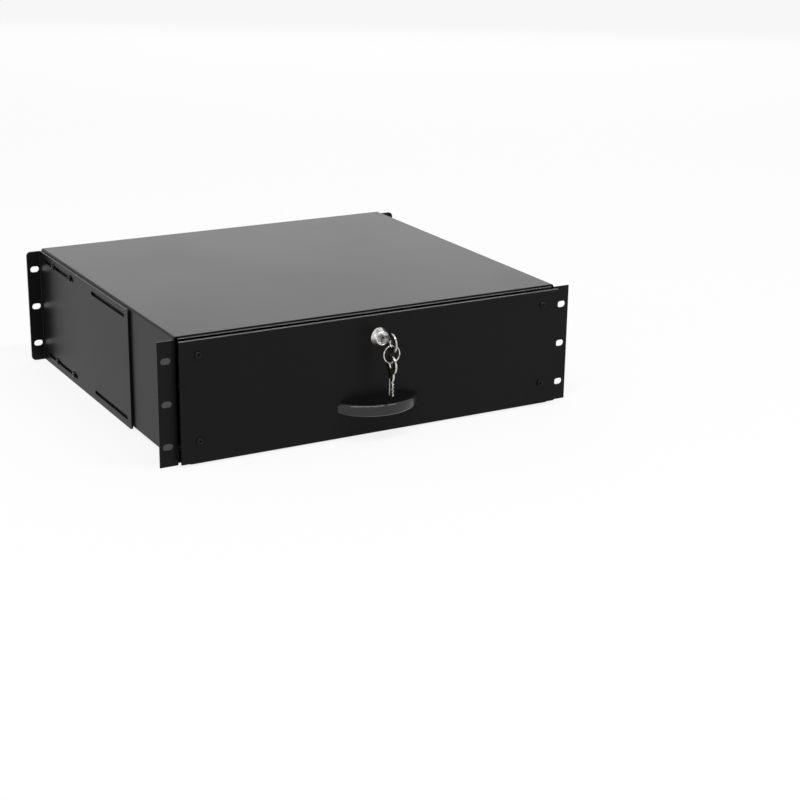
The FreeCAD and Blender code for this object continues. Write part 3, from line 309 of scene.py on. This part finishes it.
def solid_boxes(node):
    """The lowest and highest corner of each separate solid of a carried-over piece."""
    solid = bmesh.new()
    solid.from_mesh(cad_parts[node].data)
    bmesh.ops.remove_doubles(solid, verts=solid.verts, dist=1e-6)
    waiting, boxes = set(solid.verts), []
    while waiting:
        reached, places = [waiting.pop()], []
        while reached:
            vert = reached.pop()
            places.append(vert.co.copy())
            for edge in vert.link_edges:
                other = edge.other_vert(vert)
                if other in waiting:
                    waiting.remove(other)
                    reached.append(other)
        boxes.append(tuple(Vector(pick(place[axis] for place in places) for axis in range(3))
                           for pick in (min, max)))
    solid.free()
    return sorted(boxes, key=lambda box: tuple(round(value, 5) for value in box[0]))


def turned(profile, steps, closed=False):
    """A form turned round Z from (radius, height) points; closed for a ring."""
    form = bmesh.new()
    verts = [form.verts.new((radius, 0.0, height)) for radius, height in profile]
    edges = [form.edges.new(pair) for pair in zip(verts, verts[1:])]
    if closed:
        edges.append(form.edges.new((verts[-1], verts[0])))
    bmesh.ops.spin(form, geom=verts + edges, cent=(0, 0, 0), axis=(0, 0, 1),
                   angle=2 * math.pi, steps=steps, use_merge=True)
    bmesh.ops.remove_doubles(form, verts=form.verts, dist=1e-7)
    bmesh.ops.recalc_face_normals(form, faces=form.faces)
    return form


def as_object(form, name):
    """A passing object that takes over a form while it is cut."""
    data = bpy.data.meshes.new(name)
    form.to_mesh(data)
    form.free()
    held = bpy.data.objects.new(name, data)
    scene.collection.objects.link(held)
    return held


def carved(form, cutters):
    """A form less each of its cutters, all of which are used up."""
    blank = as_object(form, "blank")
    tools = [as_object(cutter, "tool") for cutter in cutters]
    for tool in tools:
        cut = blank.modifiers.new("cut", "BOOLEAN")
        cut.operation = "DIFFERENCE"
        cut.solver = "EXACT"
        cut.object = tool
    bpy.context.view_layer.update()
    finished = blank.evaluated_get(bpy.context.evaluated_depsgraph_get())
    data = bpy.data.meshes.new_from_object(finished)
    result = bmesh.new()
    result.from_mesh(data)
    bpy.data.meshes.remove(data)
    for held in [blank] + tools:
        held_data = held.data
        bpy.data.objects.remove(held)
        bpy.data.meshes.remove(held_data)
    return result


def block(size, centre):
    """A rectangular form of the given size about a centre."""
    form = bmesh.new()
    bmesh.ops.create_cube(form, size=1.0)
    bmesh.ops.scale(form, verts=form.verts, vec=size)
    bmesh.ops.translate(form, verts=form.verts, vec=centre)
    return form


def threads(radius, depth, pitch, end):
    """The zigzag of a thread's outline along Z from zero, crests and roots by turns."""
    points = []
    for turn in range(int(end / pitch)):
        points.append((radius, turn * pitch + pitch * 0.25))
        points.append((radius - depth, turn * pitch + pitch * 0.75))
    return points


screw_radius, screw_pitch, screw_thread, screw_point = 0.0020, 0.0007, 0.00028, 0.0004
head_height, recess_reach, recess_width, recess_depth = 0.0022, 0.0031, 0.00085, 0.0015


def pan_screw(length):
    """An M4 screw along Z: its domed head below zero, with a cross recess, threads above."""
    head = [(0.0, -head_height), (0.0012, -0.00217), (0.0023, -0.0020), (0.0031, -0.0016),
            (0.00355, -0.0010), (0.0037, -0.0004), (0.0036, 0.0), (screw_radius, 0.0)]
    shank = threads(screw_radius, screw_thread, screw_pitch, length - screw_point)
    form = turned(head + shank + [(0.0014, length), (0.0, length)], 28)
    crown = (0.0, 0.0, -head_height)
    return carved(form, [block((recess_reach, recess_width, 2 * recess_depth), crown),
                         block((recess_width, recess_reach, 2 * recess_depth), crown)])


def set_in(whole, form, spot, way):
    """Add a copy of a form to a whole, its origin at a spot and its Z axis turned a given way."""
    turn = Vector(way).to_track_quat("Z", "Y").to_matrix().to_4x4()
    data = bpy.data.meshes.new("copy")
    form.to_mesh(data)
    data.transform(Matrix.Translation(spot) @ turn)
    whole.from_mesh(data)
    bpy.data.meshes.remove(data)


def screws_for(node, way):
    """A pan head screw for each solid of a node, heads away from the given way."""
    way = Vector(way)
    whole, master = bmesh.new(), None
    for low, high in solid_boxes(node):
        middle, reach = (low + high) / 2, abs((high - low).dot(way)) / 2
        if master is None:
            master = pan_screw(2 * reach - head_height)
        set_in(whole, master, middle - way * (reach - head_height), way)
    master.free()
    return whole


def metal_grain_group():
    """Drawn or plated metal: a streaked mask, a wider mask of tone patches (painted reflection on
    chrome) and the grain's normal.
    """
    group = bpy.data.node_groups.new("metal_grain", "ShaderNodeTree")
    group.interface.new_socket("Stretch", in_out="INPUT", socket_type="NodeSocketVector")
    for socket in ("Scale", "Stain And Reflection Scale", "Depth"):
        group.interface.new_socket(socket, in_out="INPUT", socket_type="NodeSocketFloat")
    for socket in ("Mask", "Stain And Reflection"):
        group.interface.new_socket(socket, in_out="OUTPUT", socket_type="NodeSocketFloat")
    group.interface.new_socket("Normal", in_out="OUTPUT", socket_type="NodeSocketVector")
    inner, links = group.nodes, group.links
    entry, leave = inner.new("NodeGroupInput"), inner.new("NodeGroupOutput")
    place = inner.new("ShaderNodeTexCoord")
    drawn = inner.new("ShaderNodeVectorMath")
    drawn.operation = "MULTIPLY"
    links.new(place.outputs["Object"], drawn.inputs[0])
    links.new(entry.outputs["Stretch"], drawn.inputs[1])
    grain, stain_and_reflection = inner.new("ShaderNodeTexNoise"), inner.new("ShaderNodeTexNoise")
    grain.inputs["Detail"].default_value = 4.0
    links.new(drawn.outputs["Vector"], grain.inputs["Vector"])
    links.new(entry.outputs["Scale"], grain.inputs["Scale"])
    stain_and_reflection.inputs["Detail"].default_value = 5.0
    links.new(place.outputs["Object"], stain_and_reflection.inputs["Vector"])
    links.new(entry.outputs["Stain And Reflection Scale"], stain_and_reflection.inputs["Scale"])
    bump = inner.new("ShaderNodeBump")
    bump.inputs["Distance"].default_value = 0.0001
    links.new(entry.outputs["Depth"], bump.inputs["Strength"])
    links.new(grain.outputs["Fac"], bump.inputs["Height"])
    spread = inner.new("ShaderNodeMapRange")
    spread.inputs["From Min"].default_value = 0.36
    spread.inputs["From Max"].default_value = 0.64
    links.new(stain_and_reflection.outputs["Fac"], spread.inputs["Value"])
    links.new(grain.outputs["Fac"], leave.inputs["Mask"])
    links.new(spread.outputs["Result"], leave.inputs["Stain And Reflection"])
    links.new(bump.outputs["Normal"], leave.inputs["Normal"])
    return group


metal_grain = metal_grain_group()


def bare_metal(name, dark, light, smooth, rough, scale, depth, stain_and_reflection=60.0, along=1.0):
    """A plated or polished metal: base colour in slow patches, of real uneven tone and on chrome
    of painted reflection; roughness by a grain drawn along Y.
    """
    material = bpy.data.materials.new(name)
    material.use_nodes = True
    tree = material.node_tree
    surface = tree.nodes["Principled BSDF"]
    surface.inputs["Metallic"].default_value = 1.0
    grain = tree.nodes.new("ShaderNodeGroup")
    grain.node_tree = metal_grain
    grain.inputs["Stretch"].default_value = (1.0, along, 1.0)
    grain.inputs["Scale"].default_value = scale
    grain.inputs["Stain And Reflection Scale"].default_value = stain_and_reflection
    grain.inputs["Depth"].default_value = depth
    shade_surface(tree, grain.outputs["Stain And Reflection"], dark, light,
                  grain.outputs["Mask"], smooth, rough)
    tree.links.new(grain.outputs["Normal"], surface.inputs["Normal"])
    return material


black_zinc = bare_metal(
    "black_zinc", dark=(0.010, 0.010, 0.011), light=(0.021, 0.021, 0.022),
    smooth=0.08, rough=0.16, scale=900.0, depth=0.10)
for side, way in (("left", (1, 0, 0)), ("right", (-1, 0, 0))):
    node = f"bracket_screws_{side}"
    add_piece(f"bracket_pan_screws_{side}", screws_for(node, way), black_zinc,
              "housing", [node])

# Rivet nuts -----------------------------------------------------------------------------------
# Zinc plated steel inserts, pressed into the housing's sides: a thin round flange outside and a
# ribbed body inside, threaded for the bracket screws.

zinc_plate = bare_metal(
    "zinc_plate", dark=(0.42, 0.43, 0.45), light=(0.62, 0.63, 0.66),
    smooth=0.24, rough=0.42, scale=500.0, depth=0.25)
nut_flange = 0.0006
rivet_nut = turned(
    [(0.0045, -nut_flange), (0.0045, -0.00015), (0.0043, 0.0), (0.0030, 0.0), (0.0030, 0.0045),
     (0.0033, 0.0050), (0.0030, 0.0055), (0.0030, 0.0078), (0.0027, 0.0080), (0.0021, 0.0080),
     (0.0021, -nut_flange)], 32, closed=True)
rivet_nuts = bmesh.new()
for low, high in solid_boxes("bracket_rivet_nuts"):
    inward = -1.0 if low.x > 0 else 1.0
    outer = high.x if low.x > 0 else low.x
    spot = Vector((outer + inward * nut_flange, (low.y + high.y) / 2, (low.z + high.z) / 2))
    set_in(rivet_nuts, rivet_nut, spot, (inward, 0, 0))
rivet_nut.free()
add_piece("side_rivet_nuts", rivet_nuts, zinc_plate, "housing", ["bracket_rivet_nuts"])

# Telescopic slides ----------------------------------------------------------------------------
# Three nested members a side, roll formed from zinc plated strip, so the grain runs along them.
# The outer one is spot welded to the housing and the inner one is screwed to the tray.

rolled_zinc = bare_metal(
    "rolled_zinc", dark=(0.28, 0.29, 0.31), light=(0.44, 0.45, 0.47),
    smooth=0.22, rough=0.40, scale=1200.0, depth=0.3, along=0.04)
for side in ("left", "right"):
    for stage in ("outer", "intermediate", "inner"):
        paint_node(f"{stage}_member_{side}", rolled_zinc)

# Ball cages -----------------------------------------------------------------------------------
# Strips of bright steel between the members, pressed with a window for each ball. They keep the
# balls apart and roll along with them, so a cage moves half as far as the member on it.

cage_steel = bare_metal(
    "cage_steel", dark=(0.30, 0.30, 0.31), light=(0.46, 0.46, 0.47),
    smooth=0.30, rough=0.50, scale=1500.0, depth=0.3, along=0.05)
for side in ("left", "right"):
    for stage in ("outer", "inner"):
        paint_node(f"{stage}_cage_{side}", cage_steel)

# Bearing balls --------------------------------------------------------------------------------
# Ground and polished 4 mm steel balls, three in a row, which run in the races between the
# members and carry the drawer.

bearing_steel = bare_metal(
    "bearing_steel", dark=(0.50, 0.50, 0.52), light=(0.62, 0.62, 0.64),
    smooth=0.05, rough=0.12, scale=300.0, depth=0.02)
ball_radius = 0.0020
for side in ("left", "right"):
    for stage in ("outer", "inner"):
        balls = bmesh.new()
        for low, high in solid_boxes(f"{stage}_balls_{side}"):
            bmesh.ops.create_icosphere(balls, subdivisions=3, radius=ball_radius,
                                       matrix=Matrix.Translation((low + high) / 2))
        add_piece(f"{stage}_bearing_balls_{side}", balls, bearing_steel,
                  f"{stage}_cage_{side}", [f"{stage}_balls_{side}"])

# Drawer tray ----------------------------------------------------------------------------------
# One folded blank of 1.2 mm steel, coated like the housing, with a front wall that the panel,
# the handle and the lock are fixed through.

paint_node("drawer_tray", housing_coat)

# Slide screws ---------------------------------------------------------------------------------
# Three short zinc plated pan head screws a side, which hold the inner members to the tray. They
# go in from inside, so their heads lie in the tray.

short_length = 0.0034
slide_screws = bmesh.new()
short_screw = pan_screw(short_length)
for low, high in solid_boxes("slide_screws"):
    outward = 1.0 if low.x > 0 else -1.0
    head = low.x if low.x > 0 else high.x
    spot = Vector((head + outward * head_height, (low.y + high.y) / 2, (low.z + high.z) / 2))
    set_in(slide_screws, short_screw, spot, (outward, 0, 0))
short_screw.free()
add_piece("slide_pan_screws", slide_screws, zinc_plate, "drawer", ["slide_screws"])

# Front panel ----------------------------------------------------------------------------------
# A 2 mm steel plate whose lower edge is folded back, screwed to the tray's front wall. Its coat
# is a little darker and smoother than the housing's.

panel_coat = black_finish(
    "panel_coat", dark=(0.0055, 0.0053, 0.0054), light=(0.0070, 0.0067, 0.0068),
    smooth=0.28, rough=0.33, depth=0.2, gloss=0.10)
add_sheet("panel_plate", sheet_copy("front_panel"), panel_coat, "drawer", "front_panel")
add_piece("panel_pan_screws", screws_for("panel_screws", (0, 1, 0)), black_zinc,
          "drawer", ["panel_screws"])

# Panel nuts -----------------------------------------------------------------------------------
# Zinc plated hexagon nuts on the back of the tray's front wall, their corners bevelled on both
# faces. The panel's four screws are tightened into them.


def hexagon_nut(width, height, bore):
    """A nut along Z from zero: a hexagon less its corners' bevels and a threaded bore."""
    corner, past, lead, thread = width / math.sqrt(3), 0.001, 0.0001, 0.00025
    form = bmesh.new()
    bmesh.ops.create_cone(form, cap_ends=True, segments=6, radius1=corner, radius2=corner,
                          depth=height)
    bmesh.ops.rotate(form, verts=form.verts, cent=(0, 0, 0),
                     matrix=Matrix.Rotation(math.radians(30), 3, "Z"))
    bmesh.ops.translate(form, verts=form.verts, vec=(0, 0, height / 2))
    bevel = (corner - width / 2) * 0.6
    rim = turned([(width / 2, -past), (width, -past), (width, height + past),
                  (width / 2, height + past), (width / 2, height),
                  (corner, height - bevel), (corner, bevel), (width / 2, 0.0)],
                 48, closed=True)
    hole = turned([(0.0, -past), (bore, -past), (bore, 0.0)]
                  + threads(bore + lead, thread, screw_pitch, height)
                  + [(bore, height), (bore, height + past), (0.0, height + past)], 32)
    return carved(form, [rim, hole])


nut_width, nut_height, nut_bore = 0.0070, 0.0032, 0.0019
panel_nuts = bmesh.new()
small_nut = hexagon_nut(nut_width, nut_height, nut_bore)
for low, high in solid_boxes("panel_nuts"):
    spot = Vector(((low.x + high.x) / 2, low.y, (low.z + high.z) / 2))
    set_in(panel_nuts, small_nut, spot, (0, 1, 0))
small_nut.free()
add_piece("panel_hexagon_nuts", panel_nuts, zinc_plate, "drawer", ["panel_nuts"])

# Handle ---------------------------------------------------------------------------------------
# A half-moon hood moulded in glossy black plastic, hollow beneath for the fingers. Two screws
# from inside the drawer go into its bosses.


def cut_off(form, place, way):
    """Take away what lies beyond a plane, and close the cut with one face."""
    cut = bmesh.ops.bisect_plane(
        form, geom=form.verts[:] + form.edges[:] + form.faces[:], plane_co=place,
        plane_no=way, clear_outer=True)["geom_cut"]
    bmesh.ops.contextual_create(
        form, geom=[part for part in cut if isinstance(part, bmesh.types.BMEdge)])


low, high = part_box("handle")
half_width, depth, height = high.x, high.y - low.y, high.z - low.z
bow_radius = (half_width * half_width + depth * depth) / (2 * depth)
upper_round, lower_round = 0.0042, 0.0026
wall, back_wall, inner_corner, below = 0.0030, 0.0012, 0.0015, 0.002
quarter = [math.radians(15.0 * step) for step in range(7)]
lower_edge = [(bow_radius - lower_round + lower_round * math.sin(turn),
               lower_round - lower_round * math.cos(turn)) for turn in quarter]
upper_edge = [(bow_radius - upper_round + upper_round * math.cos(turn),
               height - upper_round + upper_round * math.sin(turn)) for turn in quarter]
hood = turned([(0.0, 0.0)] + lower_edge + upper_edge + [(0.0, height)], 240)
inside, ceiling = bow_radius - wall, height - wall
hollow = turned([(0.0, -below), (inside, -below), (inside, ceiling - inner_corner),
                 (inside - inner_corner, ceiling), (0.0, ceiling)], 240)
for form, back in ((hood, high.y), (hollow, high.y - back_wall)):
    bmesh.ops.translate(form, verts=form.verts, vec=(0.0, low.y + bow_radius, low.z))
    cut_off(form, (0, back, 0), (0, 1, 0))
    bmesh.ops.recalc_face_normals(form, faces=form.faces)
hood = carved(hood, [hollow])
boss_gap = 0.0004
boss = turned([(0.0021, 0.0), (0.0043, 0.0), (0.0041, 0.0100), (0.0036, 0.0104),
               (0.0022, 0.0104), (0.0018, 0.0090), (0.0, 0.0090), (0.0, 0.0)], 32)
for screw_low, screw_high in solid_boxes("handle_screws"):
    middle = (screw_low + screw_high) / 2
    set_in(hood, boss, Vector((middle.x, high.y - boss_gap, middle.z)), (0, -1, 0))
boss.free()
handle_plastic = black_finish(
    "handle_plastic", dark=(0.0050, 0.0050, 0.0053), light=(0.0065, 0.0065, 0.0068),
    smooth=0.09, rough=0.14, depth=0.05, gloss=0.5, patch=40.0, ripple=220.0)
add_piece("handle_hood", hood, handle_plastic, "drawer", ["handle"], 50.0)
add_piece("handle_pan_screws", screws_for("handle_screws", (0, -1, 0)), black_zinc,
          "drawer", ["handle_screws"])

# Lock barrel ----------------------------------------------------------------------------------
# A die cast cam lock in bright chrome: a collar with a conical face outside the panel, and a
# threaded barrel with two flats through it.

barrel_low, barrel_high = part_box("lock_barrel")
nut_low, nut_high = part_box("lock_nut")
lock_height = (nut_low.z + nut_high.z) / 2
panel_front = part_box("front_panel")[0].y
# The chrome's base colour swings between dark and bright grey in small patches: painted
# reflection, standing in for the dark and bright surroundings mirrored in the chrome.
lock_chrome = bare_metal(
    "lock_chrome", dark=(0.30, 0.30, 0.30), light=(0.82, 0.81, 0.80),
    smooth=0.06, rough=0.16, scale=700.0, depth=0.10, stain_and_reflection=240.0)
barrel_radius, barrel_pitch, barrel_thread = 0.0093, 0.0010, 0.0005
plug_bore, flat_distance, collar_radius = 0.00606, 0.0080, 0.0105
collar_height = panel_front - barrel_low.y
barrel_length = barrel_high.y - panel_front
barrel = turned(threads(barrel_radius, barrel_thread, barrel_pitch, barrel_length)
                + [(0.0088, barrel_length), (plug_bore, barrel_length), (plug_bore, 0.0)],
                64, closed=True)
for way in (-1, 1):
    cut_off(barrel, (way * flat_distance, 0, 0), (way, 0, 0))
bmesh.ops.recalc_face_normals(barrel, faces=barrel.faces)
collar = turned(
    [(plug_bore, 0.0), (collar_radius, 0.0), (collar_radius, 0.0009), (0.0104, 0.0013),
     (0.0101, 0.0017), (0.0074, collar_height - 0.0005), (0.0071, collar_height - 0.0001),
     (0.0068, collar_height), (0.0065, collar_height), (0.0063, collar_height - 0.0003),
     (plug_bore, collar_height - 0.0004)], 96, closed=True)
lock_body = bmesh.new()
for form, way in ((barrel, (0, 1, 0)), (collar, (0, -1, 0))):
    set_in(lock_body, form, Vector((0.0, panel_front, lock_height)), way)
    form.free()
add_piece("lock_collar_and_barrel", lock_body, lock_chrome, "drawer", ["lock_barrel"])

# Lock nut -------------------------------------------------------------------------------------
# The thin zinc plated hexagon nut behind the front wall, threaded for the barrel. It draws the
# lock's collar against the panel.

thin_nut_width = 0.0240
lock_nut = bmesh.new()
thin_nut = hexagon_nut(thin_nut_width, nut_high.y - nut_low.y, barrel_radius)
set_in(lock_nut, thin_nut, Vector((0.0, nut_low.y, lock_height)), (0, 1, 0))
thin_nut.free()
add_piece("lock_thin_nut", lock_nut, zinc_plate, "drawer", ["lock_nut"])

# Lock plug ------------------------------------------------------------------------------------
# The turned core of the lock in the same chrome, with its keyway in front and a square tail for
# the cam behind.

plug_radius, plug_bevel, tail_width, tail_edge = 0.0060, 0.0004, 0.0070, 0.0003
keyway_width, keyway_height, keyway_depth = 0.0022, 0.0083, 0.0175
plug_low, plug_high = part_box("lock_plug")
plug_length = barrel_high.y - plug_low.y
core = turned([(0.0, 0.0), (plug_radius - plug_bevel, 0.0), (plug_radius, plug_bevel),
               (plug_radius, plug_length), (0.0, plug_length)], 64)
core = carved(core, [block((keyway_width, keyway_height, 2 * keyway_depth), (0.0, 0.0, 0.0))])
tail_length = plug_high.y - barrel_high.y
tail = block((tail_width, tail_width, tail_length), (0.0, 0.0, tail_length / 2))
bmesh.ops.bevel(tail, geom=tail.edges[:], offset=tail_edge, segments=2, profile=0.5,
                affect="EDGES", material=-1)
plug = bmesh.new()
for form, front in ((core, plug_low.y), (tail, barrel_high.y)):
    set_in(plug, form, Vector((0.0, front, lock_height)), (0, 1, 0))
    form.free()
add_piece("lock_core", plug, lock_chrome, "lock_plug_body", ["lock_plug"])

# Lock cam -------------------------------------------------------------------------------------
# A flat steel cam on the plug's square tail, held by one screw. It turns up behind the lip of
# the housing when the drawer is locked.


def softened(node, width):
    """A carried-over piece's form with its sharp edges eased."""
    form, sharp_turn = merged(node), math.radians(35.0)
    sharp = [edge for edge in form.edges
             if len(edge.link_faces) == 2 and edge.calc_face_angle(0.0) > sharp_turn]
    bmesh.ops.bevel(form, geom=sharp, offset=width, segments=2, profile=0.5,
                    affect="EDGES", material=-1, clamp_overlap=True)
    return form


cam_edge = 0.00025
add_piece("lock_flat_cam", softened("lock_cam", cam_edge), zinc_plate,
          "lock_plug_body", ["lock_cam"])
add_piece("cam_pan_screw", screws_for("cam_screw", (0, -1, 0)), zinc_plate,
          "lock_plug_body", ["cam_screw"])

# Keys -----------------------------------------------------------------------------------------
# Two flat keys stamped from nickel plated brass, edges tumbled round: one in the lock, and a
# spare that hangs from the ring.

key_nickel = bare_metal(
    "key_nickel", dark=(0.26, 0.25, 0.24), light=(0.66, 0.65, 0.62),
    smooth=0.12, rough=0.24, scale=500.0, depth=0.1, stain_and_reflection=160.0)
key_edge = 0.00022
for node, name, body in (("inserted_key", "key_in_lock", "key"),
                         ("spare_key", "key_on_ring", "spare")):
    add_piece(name, softened(node, key_edge), key_nickel, body, [node])

# Key ring -------------------------------------------------------------------------------------
# A split ring: two turns of flat spring wire side by side, bright chromed. It goes through the
# holes in both keys' bows.

ring_low, ring_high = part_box("key_ring")
ring_middle = (ring_low + ring_high) / 2
ring_radius, wire_width, wire_thickness, wire_round = 0.0097, 0.0011, 0.00036, 0.0001
turn_step, turns, steps = 0.00037, 2, 176
wire = bmesh.new()
bmesh.ops.create_grid(wire, x_segments=1, y_segments=1, size=0.5)
bmesh.ops.scale(wire, verts=wire.verts, vec=(wire_width, wire_thickness, 1.0))
bmesh.ops.rotate(wire, verts=wire.verts, cent=(0, 0, 0),
                 matrix=Matrix.Rotation(math.pi, 3, "Y"))
bmesh.ops.bevel(wire, geom=wire.verts[:], offset=wire_round, segments=2, profile=0.5,
                affect="VERTICES", material=-1)
start = Vector((ring_radius - wire_width / 2, -turn_step, 0.0))
bmesh.ops.translate(wire, verts=wire.verts, vec=ring_middle + start)
bmesh.ops.spin(wire, geom=wire.verts[:] + wire.edges[:] + wire.faces[:], cent=ring_middle,
               axis=(0, 1, 0), dvec=(0, turns * turn_step / steps, 0),
               angle=turns * 2 * math.pi, steps=steps, use_duplicate=False)
bmesh.ops.recalc_face_normals(wire, faces=wire.faces)
# Its chrome carries the same painted reflection in its base colour as the lock's.
add_piece("key_split_ring", wire, lock_chrome, "ring", ["key_ring"], 60.0)
